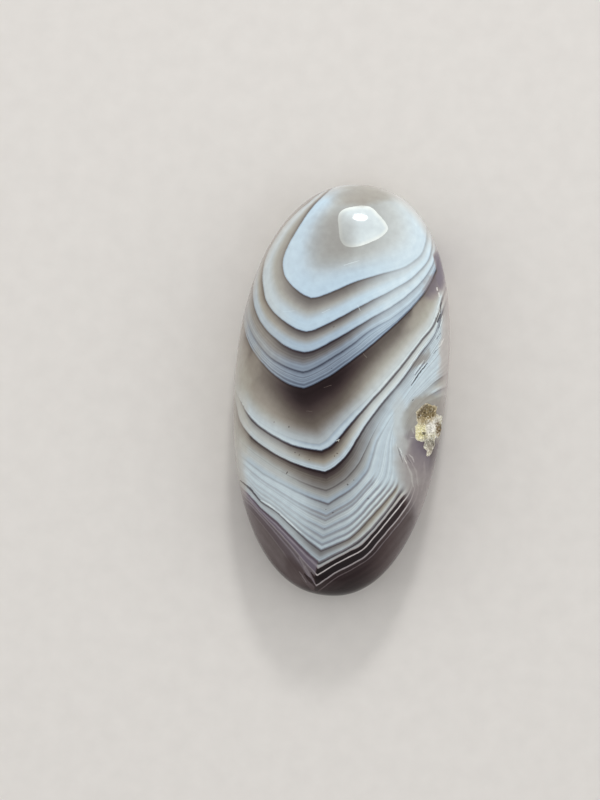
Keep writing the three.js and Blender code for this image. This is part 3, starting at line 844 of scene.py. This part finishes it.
def layer_pattern(finish, place):
    """The tone, blue part and mauve part that the growth layers and the flank's painted light give the
    stone.
    """
    growth, pace, even = finish.separate(finish.attribute("growth"))
    side, inset, _ = finish.separate(finish.attribute("spread"))
    wobble = finish.grain(place, WANDER) + finish.grain(place, TREMBLE)
    level = (growth + wobble * pace).larger(0.0)
    count = len(LAYERS)
    below = level.floor()
    which = (below + 0.5) / count
    share = (even + wobble * pace - below).larger(0.0).smaller(1.0)
    past_edge = level.fraction() / pace
    to_edge = (1 - level.fraction()) / pace

    def by_layer(pick, at=which):
        """Up to four values of the layer here."""
        stops = [(i / count, pick(layer)) for i, layer in enumerate(LAYERS)]
        colour = finish.ramp(at, stops, "CONSTANT")
        parts = finish.node("ShaderNodeSeparateColor", {}, {0: colour})
        return parts, parts.output("Green"), parts.output("Blue"), colour.output("Alpha")

    def stored(hue):
        return (hue + 1) / 2

    def hue_parts(value):
        """The blue and the mauve part of a stored hue."""
        hue = value * 2 - 1
        return hue.larger(0.0), (hue * -1).larger(0.0)

    left_start, left_full, right_start, right_full = by_layer(lambda layer: layer.arms)
    left = finish.rise(side * -1, left_start, left_full)
    right = finish.rise(side, right_start, right_full)
    middle = 1 - left - right

    def over_arms(on_left, at_tip, on_right):
        return on_left * left + at_tip * middle + on_right * right

    def look_of(layer, arm):
        *tones, hue = getattr(layer, arm)
        return *tones, stored(hue)

    def near(distance, full, none):
        return 1 - finish.rise(distance, full, none)

    looks = [by_layer(lambda layer, arm=arm: look_of(layer, arm)) for arm in ("left", "tip", "right")]
    shade, body, milk = (over_arms(*parts) for parts in list(zip(*looks))[:3])
    blue, mauve = (over_arms(*parts) for parts in zip(*(hue_parts(look[3]) for look in looks)))
    *shadows, streak = by_layer(lambda layer: (*(stored(hue) for hue in layer.shadow), layer.streak))
    shade_blue, shade_mauve = (over_arms(*parts) for parts in zip(*map(hue_parts, shadows)))
    lift_start, lift_full, milk_start, milk_full = by_layer(lambda layer: layer.run)
    *line_here, rim_here = by_layer(lambda layer: (*layer.line, layer.rim))
    *line_before, rim_before = by_layer(lambda layer: (*layer.line, layer.rim), which - 1 / count)

    milky = finish.rise(share, milk_start, milk_full)
    tone = turned(turned(shade, body, finish.rise(share, lift_start, lift_full)), milk, milky)
    blue = turned(shade_blue, blue, milky)
    mauve = turned(shade_mauve, mauve, milky)

    flat = finish.flat(place)
    for crowd in CROWDS:
        streak = streak + finish.patch(flat, crowd) * crowd.strength
    calm = 0.0
    for start, end, width in CALM_LINES:
        calm = finish.stroke(flat, start, end, width).larger(calm)
    crisp = 1 - calm * CALM_BLUR
    tone = turned(tone, CALM_TONE, calm * CALM_TONE_STRENGTH)
    tone = tone + finish.grain(level, CALM_STREAKS, "1D") * calm
    blue = turned(blue, CALM_BLUE, calm * CALM_BLUE_STRENGTH)
    mauve = mauve * crisp
    tone = tone + finish.grain(level, FINE_LINES, "1D") * streak

    ink = near(past_edge, *INK_PAST) * over_arms(*line_before)
    ink = ink.larger(near(to_edge, *INK_BEFORE) * over_arms(*line_here) * (1 - rim_here))
    faded = 1 - left * near(inset, 0.0, INK_FADE_WIDTH) * INK_FADE
    tone = turned(tone, INK_TONE, ink * crisp * faded)
    rim = near(to_edge, *RIM_BEFORE) * rim_here + near(past_edge, *RIM_PAST) * rim_before
    rim = rim * over_arms(*RIM_STRENGTH) * crisp
    tone = turned(tone, RIM_TONE, rim)
    mauve = turned(mauve, RIM_MAUVE, rim)

    # Painted light: the flank shows light shining through the thin stone, darker towards the -Y end.
    flank = near(inset, 0.0, FLANK_WIDTH) * FLANK_LIGHT_STRENGTH
    along = finish.separate(place)[1] / LENGTH + 0.5
    tone = turned(tone, finish.ramp(along, greys(FLANK_LIGHT_TONES)), flank)
    return tone, turned(blue, 0.0, flank), turned(mauve, FLANK_LIGHT_MAUVE, flank)


def drawn_over(finish, place, tone, blue, mauve):
    """The pattern with its stains, marks and specks."""
    loose = finish.loosened(place, STAIN_DRIFT)
    for stain in STAINS:
        mask = finish.patch(loose, stain, stain.soft) * stain.strength
        tone = turned(tone, stain.tone, mask)
        blue = turned(blue, max(stain.hue, 0), mask)
        mauve = turned(mauve, max(-stain.hue, 0), mask)
    rough = finish.loosened(place, MARK_DRIFT)
    worn = finish.grain(place, MARK_WEAR) + 1
    for mark in MARKS:
        mask = 0.0
        for start, end in zip(mark.path, mark.path[1:]):
            tips = MARK_TAPER * (start is mark.path[0]), MARK_TAPER * (end is mark.path[-1])
            mask = finish.stroke(rough, start, end, mark.width, *tips).larger(mask)
        tone = turned(tone, mark.tone, mask * worn * mark.strength)
    specks = 0.0
    for number, speck in enumerate(SPECKS):
        size = SPECK_SIZES[number % len(SPECK_SIZES)]
        gap = finish.vector("DISTANCE", loose, (*from_photo(*speck), 0), output="Value")
        specks = (1 - finish.rise(gap, size * SOFT_CORE, size * (1 + SOFT_CORE))).larger(specks)
    return turned(tone, SPECK_TONE, specks * SPECK_STRENGTH), blue, mauve


def raw_agate_finish():
    """The broken agate of the pit's wall, where the crust leaves it bare."""
    finish = Finish("raw agate", IOR=QUARTZ_IOR)
    place = finish.node("ShaderNodeTexCoord").output("Object")
    grain = finish.speckle(place, WALL_GRAIN.scale, WALL_GRAIN.detail)
    finish.feed("Base Color", finish.ramp(grain, WALL_TONES))
    finish.feed("Roughness", WALL_ROUGHNESS + grain * WALL_GRAIN.size)
    return finish.material


# The colours of the crust, some of them painted shade: centre and half sizes in pixels of the photograph,
# turn, colour and strength.
Tint = namedtuple("Tint", "centre half turn colour strength")
TINT_DRIFT = Grain(5.0, 3.0, 0.4)
DRUSE_TONES = [(0.35, rgb(186, 178, 150)), (0.5, rgb(226, 221, 200)), (0.65, rgb(244, 243, 234))]
TINTS = [
    Tint((419.5, 432), (5.5, 8), 0, (246, 240, 194), 0.75),
    Tint((433, 424.5), (5, 9), -28, (252, 250, 243), 0.9),
    # Tan brown in the upper bowl: partly ochre, partly painted shade.
    Tint((427, 413.5), (12, 8), 38, (188, 170, 130), 0.95),
    # A dark crease under the upper rim of the bowl: painted shadow.
    Tint((421, 412), (1.8, 7.5), -35, (92, 70, 44), 0.6),
    # Brown in the notch: partly ochre, partly painted shade.
    Tint((439, 430), (2.8, 7.5), 8, (140, 116, 78), 0.95),
    # Greyish olive below the crystals: partly their own colour, partly painted shade.
    Tint((430, 443.5), (8, 4), -20, (152, 148, 134), 0.8),
    Tint((431, 449), (5, 6), 0, (190, 182, 168), 0.75),
    # A small dark spot in the yellow crystals: painted shade.
    Tint((423.5, 433), (1.5, 1.3), 0, (74, 62, 40), 0.9),
]


# The glint above which a crystal is turned white, a painted glint, and how white, and below which it is
# turned brown, partly ochre and partly painted shade, and how brown. Then the depth in millimetres from
# which painted shadow darkens the crust, the colour that it is multiplied by there, and how strongly.
GLINT_WHITE, GLINT_PAINT_STRENGTH = (0.75, 0.95), 0.85
GLINT_BROWN, BROWN_AND_SHADE_STRENGTH = (0.0, 0.25), 0.35
SHADOW_DEPTH, SHADOW_COLOUR, SHADOW_STRENGTH = (0.25, 0.6), (0.42, 0.36, 0.27), 0.5


def druse_finish():
    """Tiny quartz crystals with painted glints, darkened by painted shadow in the deep parts."""
    finish = Finish("quartz druse", IOR=QUARTZ_IOR)
    metres = finish.node("ShaderNodeTexCoord").output("Object")
    place = finish.vector("MULTIPLY", metres, [1 / METRES] * 3)
    grain = finish.speckle(place, DRUSE_GRAIN.scale, DRUSE_GRAIN.detail)
    colour = finish.ramp(grain, DRUSE_TONES)
    loose = finish.loosened(place, TINT_DRIFT)
    for tint in TINTS:
        colour = finish.mix(finish.patch(loose, tint) * tint.strength, colour, rgb(*tint.colour))
    crystal = finish.attribute("crystal", "Fac")
    # Painted glints turn the brightest crystals white, and painted shade turns the dullest ones brown.
    colour = finish.mix(finish.rise(crystal, *GLINT_WHITE) * GLINT_PAINT_STRENGTH, colour, rgb(255, 253, 240))
    colour = finish.mix((1 - finish.rise(crystal, *GLINT_BROWN)) * BROWN_AND_SHADE_STRENGTH, colour, rgb(112, 96, 66))
    # Painted shadow: the deeper the crust lies below the polish, the darker it is.
    sunk = finish.rise(finish.attribute("sunk", "Fac"), *SHADOW_DEPTH)
    finish.feed("Base Color", finish.mix(sunk * SHADOW_STRENGTH, colour, SHADOW_COLOUR, "MULTIPLY"))
    finish.feed("Roughness", DRUSE_ROUGHNESS + grain * DRUSE_GRAIN.size)
    return finish.material


def floor_finish():
    finish = Finish("pale studio floor", Roughness=0.6)
    place = finish.node("ShaderNodeTexCoord").output("Object")
    grain = finish.speckle(place, 900.0, 4.0)
    finish.feed("Base Color", finish.ramp(grain, [(0.3, rgb(222, 218, 213)), (0.7, rgb(226, 222, 217))]))
    return finish.material


def new_object(name, mesh):
    made = bpy.data.objects.new(name, mesh)
    bpy.context.scene.collection.objects.link(made)
    return made


def mesh_from(name, points, faces):
    mesh = bpy.data.meshes.new(name)
    mesh.from_pydata(np.asarray(points).tolist(), [], faces)
    mesh.update()
    return mesh


def mesh_of(name, shape):
    """Turns an edit mesh into a mesh of its own."""
    mesh = bpy.data.meshes.new(name)
    shape.to_mesh(mesh)
    shape.free()
    return mesh


def search_tree(made):
    """Finds the nearest face of an object's mesh."""
    mesh = made.data
    return BVHTree.FromPolygons([v.co for v in mesh.vertices], [p.vertices for p in mesh.polygons])


def points_of(mesh):
    places = np.empty(len(mesh.vertices) * 3, np.float32)
    mesh.vertices.foreach_get("co", places)
    return places.reshape(-1, 3).astype(float)


def applied(made):
    """Bakes an object's modifiers into its mesh."""
    mesh = bpy.data.meshes.new_from_object(made.evaluated_get(bpy.context.evaluated_depsgraph_get()))
    made.modifiers.clear()
    made.data = mesh
    return made


def combine(made, other, operation):
    """Joins or cuts one solid with another."""
    modifier = made.modifiers.new(operation.lower(), "BOOLEAN")
    modifier.operation = operation
    modifier.object = other
    modifier.solver = "MANIFOLD"
    return applied(made)


def without_crumbs(made):
    """Welds the slivers that a cut leaves, and keeps only the largest connected part of the solid."""
    shape = bmesh.new()
    shape.from_mesh(made.data)
    bmesh.ops.remove_doubles(shape, verts=shape.verts, dist=WELD_REACH)
    left = set(shape.verts)
    largest = []
    while left:
        part = [left.pop()]
        for vert in part:
            for edge in vert.link_edges:
                other = edge.other_vert(vert)
                if other in left:
                    left.remove(other)
                    part.append(other)
        largest = max(largest, part, key=len)
    crumbs = set(shape.verts) - set(largest)
    bmesh.ops.delete(shape, geom=list(crumbs), context="VERTS")
    shape.to_mesh(made.data)
    shape.free()
    return made


def square_to_ring(i, j, cells_across, cells_along):
    """Turns a cell corner of a rectangle into how far out it is and its angle round the stone."""
    u, v = i / cells_across, j / cells_along
    out = np.maximum(np.abs(u), np.abs(v))
    safe = np.where(out == 0, 1, out)
    sideways = np.abs(u) >= np.abs(v)
    angle = np.where(
        sideways,
        math.pi / 4 * v / np.where(u == 0, safe, u) + np.where(u < 0, math.pi, 0),
        math.pi / 2 - math.pi / 4 * u / np.where(v == 0, safe, v) + np.where(v < 0, math.pi, 0),
    )
    return out, angle


def rectangle_border(cells_across, cells_along):
    """The border corners of a rectangle of cells, anticlockwise from its lower right one."""
    a, b = cells_across, cells_along
    right = [(a, j) for j in range(-b, b)]
    top = [(i, b) for i in range(a, -a, -1)]
    left = [(-a, j) for j in range(b, -b, -1)]
    bottom = [(i, -b) for i in range(-a, a)]
    return right + top + left + bottom


def stone_blank():
    """The polished stone before the pit: a fine dome, rings down the bevel and a coarser flat back."""
    profile = np.linspace(0, 1, PROFILE_POINTS)
    rise = DOME_RISE * (1 - profile ** DOME_FULLNESS) ** (1 / DOME_FULLNESS)
    run = profile * (HALF_WIDTH + HALF_LENGTH) / 2
    travelled = np.concatenate([[0], np.cumsum(np.hypot(np.diff(run), np.diff(rise)))])
    travelled /= travelled[-1]

    def sheet(cells_across, cells_along):
        """A rectangle of cells: how far out its corners are, their angles, the cells, and the border."""
        across = np.arange(-cells_across, cells_across + 1)
        along = np.arange(-cells_along, cells_along + 1)
        i, j = (corners.ravel() for corners in np.meshgrid(across, along))
        out, angle = square_to_ring(i, j, cells_across, cells_along)
        columns = 2 * cells_across + 1
        corner = np.arange(2 * cells_along)[:, None] * columns + np.arange(2 * cells_across)
        quads = np.stack([corner, corner + 1, corner + columns + 1, corner + columns], -1).reshape(-1, 4)
        border = rectangle_border(cells_across, cells_along)
        return out, angle, quads, [(j + cells_along) * columns + i + cells_across for i, j in border]

    out, angle, quads, ring = sheet(CELLS_ACROSS, CELLS_ALONG)
    scale = np.interp(out, travelled, profile)
    x, y = ring_point(angle, scale)
    points = [np.column_stack([x, y, GIRDLE_HEIGHT + np.interp(scale, profile, rise)])]
    faces = quads.tolist()
    ring_angle = angle[ring]
    total = len(x)
    for step in range(1, BEVEL_RINGS + 1):
        height = GIRDLE_HEIGHT * (1 - step / BEVEL_RINGS)
        inset = BEVEL_INSET * (1 - height / GIRDLE_HEIGHT) ** BEVEL_CURVE
        x, y = ring_point(ring_angle, 1.0, inset)
        points.append(np.column_stack([x, y, np.full(len(x), height)]))
        lower = list(range(total, total + len(ring)))
        turns = zip(lower, lower[1:] + lower[:1], ring[1:] + ring[:1], ring)
        faces += [list(corners) for corners in turns]
        ring = lower
        total += len(ring)

    out, angle, quads, border = sheet(CELLS_ACROSS // 2, CELLS_ALONG // 2)
    x, y = ring_point(angle, out)
    x = (x + BOW) * (1 - BACK_INSET / HALF_WIDTH * out) - BOW
    y = y * (1 - BACK_INSET / HALF_LENGTH * out)
    points.append(np.column_stack([x, y, np.zeros(len(x))]))
    faces += (quads[:, ::-1] + total).tolist()
    inner = [total + k for k in border]
    for k, (first, second) in enumerate(zip(inner, inner[1:] + inner[:1])):
        outer = [ring[(2 * k + step) % len(ring)] for step in range(3)]
        faces += [[first, outer[1], outer[0]], [first, second, outer[1]], [second, outer[2], outer[1]]]
    points = np.vstack(points)
    points[:, 0] -= PLAN_MIDDLE
    return mesh_from("stone", points, faces)


def flank_frame(across, along, lift, turn):
    """The turn and place of something that stands on the polished flank."""
    normal = dome_normal(across, along)
    seat = Vector((across, along, dome_height(across, along))) + normal * lift
    upright = Vector((0, 0, 1)).rotation_difference(normal).to_matrix().to_4x4()
    return Matrix.Translation(seat) @ upright @ Matrix.Rotation(turn, 4, "Z")


def roughness(place, bumps):
    """How far bumps of given sizes and finenesses stand out at a place."""
    return sum(size * noise.noise(place * fineness) for size, fineness in bumps)


def push_out(mesh, distance):
    """Moves each point of a closed surface out along its normal, by a distance worked out from its place."""
    normals = [v.normal.copy() for v in mesh.vertices]
    for vert, normal in zip(mesh.vertices, normals):
        vert.co += normal * distance(vert.co)
    mesh.update()


def pit_hollow():
    """The hollow of the pit as one closed surface: its lobes flowed together and roughened."""
    shape = bmesh.new()
    for lobe in PIT_LOBES:
        ball = bmesh.ops.create_icosphere(shape, subdivisions=5, radius=1.0)["verts"]
        for vert in ball:
            x, y, z = vert.co
            waves = (math.sin(a * x + b * y + c * z + d * lobe.turn) for a, b, c, d in PIT_WAVES)
            swell = 1 + PIT_ROUGHNESS * sum(waves)
            vert.co = Vector((x * lobe.half[0], y * lobe.half[1], z * lobe.half[2])) * swell
        seat = flank_frame(lobe.across, lobe.along, lobe.lift, lobe.turn)
        bmesh.ops.transform(shape, matrix=seat, verts=ball)
    hollow = new_object("hollow", mesh_of("hollow", shape))
    modifier = hollow.modifiers.new("flow together", "REMESH")
    modifier.mode = "VOXEL"
    modifier.voxel_size = PIT_CELL
    applied(hollow)
    push_out(hollow.data, lambda place: roughness(place, PIT_JAGS))
    return hollow


def swollen(source, name, by):
    """A copy of a closed surface, moved out along its normals."""
    mesh = source.data.copy()
    push_out(mesh, lambda place: by)
    return new_object(name, mesh)


def crust_depth(place):
    """How far below the polish the crust's surface lies under a place of the flank."""
    depth = CRUST_DEPTH
    for bowl in BOWLS:
        away = (np.array(place.xy) - from_photo(*bowl.centre)) / np.array(bowl.half) / MM_PER_PIXEL
        depth += bowl.depth * math.exp(-away @ away)
    return max(depth * (1 + roughness(place, CRUST_LUMPS)) + CRUST_DROP, CRUST_LEAST_DEPTH)


def druse_crust(hollow, blank):
    """The crust that lines the pit: a lumpy lining, deep in its bowls, set with quartz points."""
    outwards = dome_normal(PIT_LOBES[1].across, PIT_LOBES[1].along)
    crust = swollen(hollow, "pit_druse", -CRUST_GAP)
    cavity = swollen(hollow, "cavity", -CRUST_GAP - CRUST_THICKNESS)
    for vert in cavity.data.vertices:
        x, y, z = vert.co
        depth = (dome_height(x, y) - z) * dome_normal(x, y).z
        if depth > 0:
            wanted = crust_depth(vert.co + outwards * depth)
            vert.co += outwards * (depth - wanted * (1 - math.exp(-depth / wanted)))
    cavity.data.update()
    lowered = swollen(blank, "lowered", -CRUST_BELOW)
    combine(crust, cavity, "DIFFERENCE")
    combine(crust, lowered, "INTERSECT")
    without_crumbs(crust)
    lining = search_tree(cavity)
    shape = bmesh.new()
    shape.from_mesh(crust.data)
    crystal = shape.verts.layers.float.new("crystal")
    for vert in shape.verts:
        vert[crystal] = CRUST_GLINT
    seats = []
    for face in shape.faces:
        centre = face.calc_center_median()
        if lining.find_nearest(centre)[3] < ON_SURFACE:
            seats.append((centre, face.normal.copy(), face.calc_area()))
    random = np.random.default_rng(QUARTZ_SEED)
    areas = np.array([area for _, _, area in seats])
    for pick in random.choice(len(seats), size=QUARTZ_POINTS, p=areas / areas.sum()):
        centre, normal, _ = seats[pick]
        radius = random.uniform(*QUARTZ_RADIUS)
        lean = Vector(random.uniform(-QUARTZ_LEAN, QUARTZ_LEAN, 3))
        axis = (normal + lean).normalized()
        length = radius * random.uniform(*QUARTZ_LENGTH)
        tip = centre + axis * length
        if dome_height(tip.x, tip.y) - QUARTZ_BELOW < tip.z or reach(tip.x, tip.y) > QUARTZ_REACH:
            continue
        spin, glint = random.uniform(0, math.pi), random.random()
        quartz_point(shape, centre, axis, radius, length, spin, crystal, glint)
    mesh = mesh_of("pit_druse", shape)
    places = points_of(mesh)
    sunk = (dome_height(places[:, 0], places[:, 1]) - places[:, 2]) * outwards.z
    mesh.attributes.new("sunk", "FLOAT", "POINT").data.foreach_set("value", sunk)
    crust.data = mesh
    for helper in (cavity, lowered):
        bpy.data.objects.remove(helper)
    return crust


def quartz_point(shape, seat, axis, radius, length, spin, crystal, glint):
    """Adds one quartz point: a prism on the crust and a pyramid on the prism."""
    turn = Vector((0, 0, 1)).rotation_difference(axis).to_matrix()
    shoulder, narrowing = QUARTZ_SHOULDER
    rings = []
    for height, wide in ((-QUARTZ_ROOT * radius, 1.0), (length * shoulder, narrowing)):
        ring = []
        for side in range(QUARTZ_SIDES):
            angle = spin + side * 2 * math.pi / QUARTZ_SIDES
            corner = Vector((math.cos(angle) * radius * wide, math.sin(angle) * radius * wide, height))
            ring.append(shape.verts.new(seat + turn @ corner))
        rings.append(ring)
    tip = shape.verts.new(seat + axis * length)
    low, high = rings
    for vert in (*low, *high, tip):
        vert[crystal] = glint
    shape.faces.new(low[::-1])
    for side in range(QUARTZ_SIDES):
        after = (side + 1) % QUARTZ_SIDES
        shape.faces.new([low[side], low[after], high[after], high[side]])
        shape.faces.new([high[side], high[after], tip])


def read_layers(mesh):
    """Gives a mesh its place in plan, as the layers run, and the growth layers there."""
    places = points_of(mesh)
    depth = np.maximum(dome_height(places[:, 0], places[:, 1]) - places[:, 2], 0)
    spots = places[:, :2] + depth[:, None] * np.array(LAYER_SLANT)
    growth, side = growth_layers(spots)
    plan = np.column_stack([spots, places[:, 2]])
    out = np.maximum(reach(places[:, 0], places[:, 1]), CREST_REACH)
    inset = np.hypot(places[:, 0], places[:, 1]) * (1 / out - 1)
    spread = np.column_stack([side, inset, side * 0])
    for name, values in (("growth", growth), ("plan", plan), ("spread", spread)):
        mesh.attributes.new(name, "FLOAT_VECTOR", "POINT").data.foreach_set("vector", values.ravel())


def in_metres(made):
    made.data.transform(Matrix.Scale(METRES * FIT, 4))
    made.data.update()
    return made


def polished_stone(blank, hollow):
    stone = swollen(blank, "agate_stone", 0.0)
    combine(stone, hollow, "DIFFERENCE")
    without_crumbs(stone)
    mesh = stone.data
    mesh.materials.clear()
    mesh.materials.append(agate_finish())
    mesh.materials.append(raw_agate_finish())
    read_layers(mesh)
    wall = search_tree(hollow)
    for face in mesh.polygons:
        face.material_index = int(wall.find_nearest(face.center, 2 * ON_SURFACE)[0] is not None)
    mesh.shade_smooth()
    mesh.set_sharp_from_angle(angle=math.radians(SHARP_ANGLE))
    return in_metres(stone)


# The floor and the key light, in metres: the floor's half width, and the light's size and distance. The
# light glints on the stone at a pixel of the photograph.
FLOOR_HALF = 0.6
FLOOR_CELLS = 24
KEY_SIZE = (0.044, 0.038)
KEY_DISTANCE = 0.3
KEY_POWER = 0.34
GLINT_PIXEL = (361, 216.5)

# How far off the camera is and how wide its sensor is, in millimetres, and how near and far it sees, in
# metres.
CAMERA_DISTANCE = 600.0
SENSOR_WIDTH = 36.0
NEAREST, FARTHEST = 0.01, 10.0

# The soft light all round: from the horizon to overhead, and from the near side to the far side.
SKY_BY_HEIGHT = [(0.0, 0.7), (0.15, 1.2), (0.35, 1.9), (0.6, 1.6), (0.9, 0.25), (1.0, 0.12)]
SKY_BY_SIDE = [(0.0, 0.4), (0.25, 0.7), (0.5, 1.02), (0.75, 0.85), (1.0, 0.7)]


def studio():
    """A pale floor, a soft overhead light and one small key light low beyond the far end of the stone."""
    shape = bmesh.new()
    bmesh.ops.create_grid(shape, x_segments=FLOOR_CELLS, y_segments=FLOOR_CELLS, size=FLOOR_HALF)
    mesh = mesh_of("floor", shape)
    mesh.materials.append(floor_finish())
    new_object("floor", mesh)

    x, y = from_photo(*GLINT_PIXEL)
    glint = Vector((x, y, dome_height(x, y))) * METRES
    normal = dome_normal(x, y)
    towards = (2 * normal.z * normal - Vector((0, 0, 1))).normalized()
    lamp = bpy.data.lights.new("key", "AREA")
    lamp.shape = "ELLIPSE"
    lamp.size, lamp.size_y = KEY_SIZE
    lamp.energy = KEY_POWER
    key = new_object("key", lamp)
    key.location = glint + towards * KEY_DISTANCE
    key.rotation_euler = (-towards).to_track_quat("-Z", "Y").to_euler()

    world = bpy.data.worlds.new("studio")
    sky = Nodes(world, "Background")
    _, forward, upward = sky.separate(sky.node("ShaderNodeTexCoord"))
    falling = sky.ramp(upward, greys(SKY_BY_HEIGHT))
    lopsided = sky.ramp(forward * 0.5 + 0.5, greys(SKY_BY_SIDE))
    sky.feed("Color", sky.mix(1.0, falling, lopsided, "MULTIPLY"))
    bpy.context.scene.world = world
    bpy.context.scene.view_settings.view_transform = "Standard"


def camera():
    """Looks straight down from far off, with the photograph's frame and the stone's lean in it."""
    lens = bpy.data.cameras.new("camera")
    lens.sensor_width = SENSOR_WIDTH
    lens.lens = SENSOR_WIDTH * CAMERA_DISTANCE / (IMAGE_HEIGHT * MM_PER_PIXEL)
    lens.clip_start = NEAREST
    lens.clip_end = FARTHEST
    made = new_object("camera", lens)
    x, y = from_photo(IMAGE_WIDTH / 2, IMAGE_HEIGHT / 2)
    made.location = Vector((x, y, CAMERA_DISTANCE + HEIGHT / 2)) * METRES
    made.rotation_euler = (0, 0, STONE_LEAN)
    bpy.context.scene.camera = made


camera()
studio()
blank = new_object("blank", stone_blank())
hollow = pit_hollow()

stone = polished_stone(blank, hollow)
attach(stone, "root")
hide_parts("cabochon")

crust = druse_crust(hollow, blank)
crust.data.materials.clear()
crust.data.materials.append(druse_finish())
in_metres(crust)
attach(crust, "root")
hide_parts("pit_crystals")

for helper in (blank, hollow):
    bpy.data.objects.remove(helper)
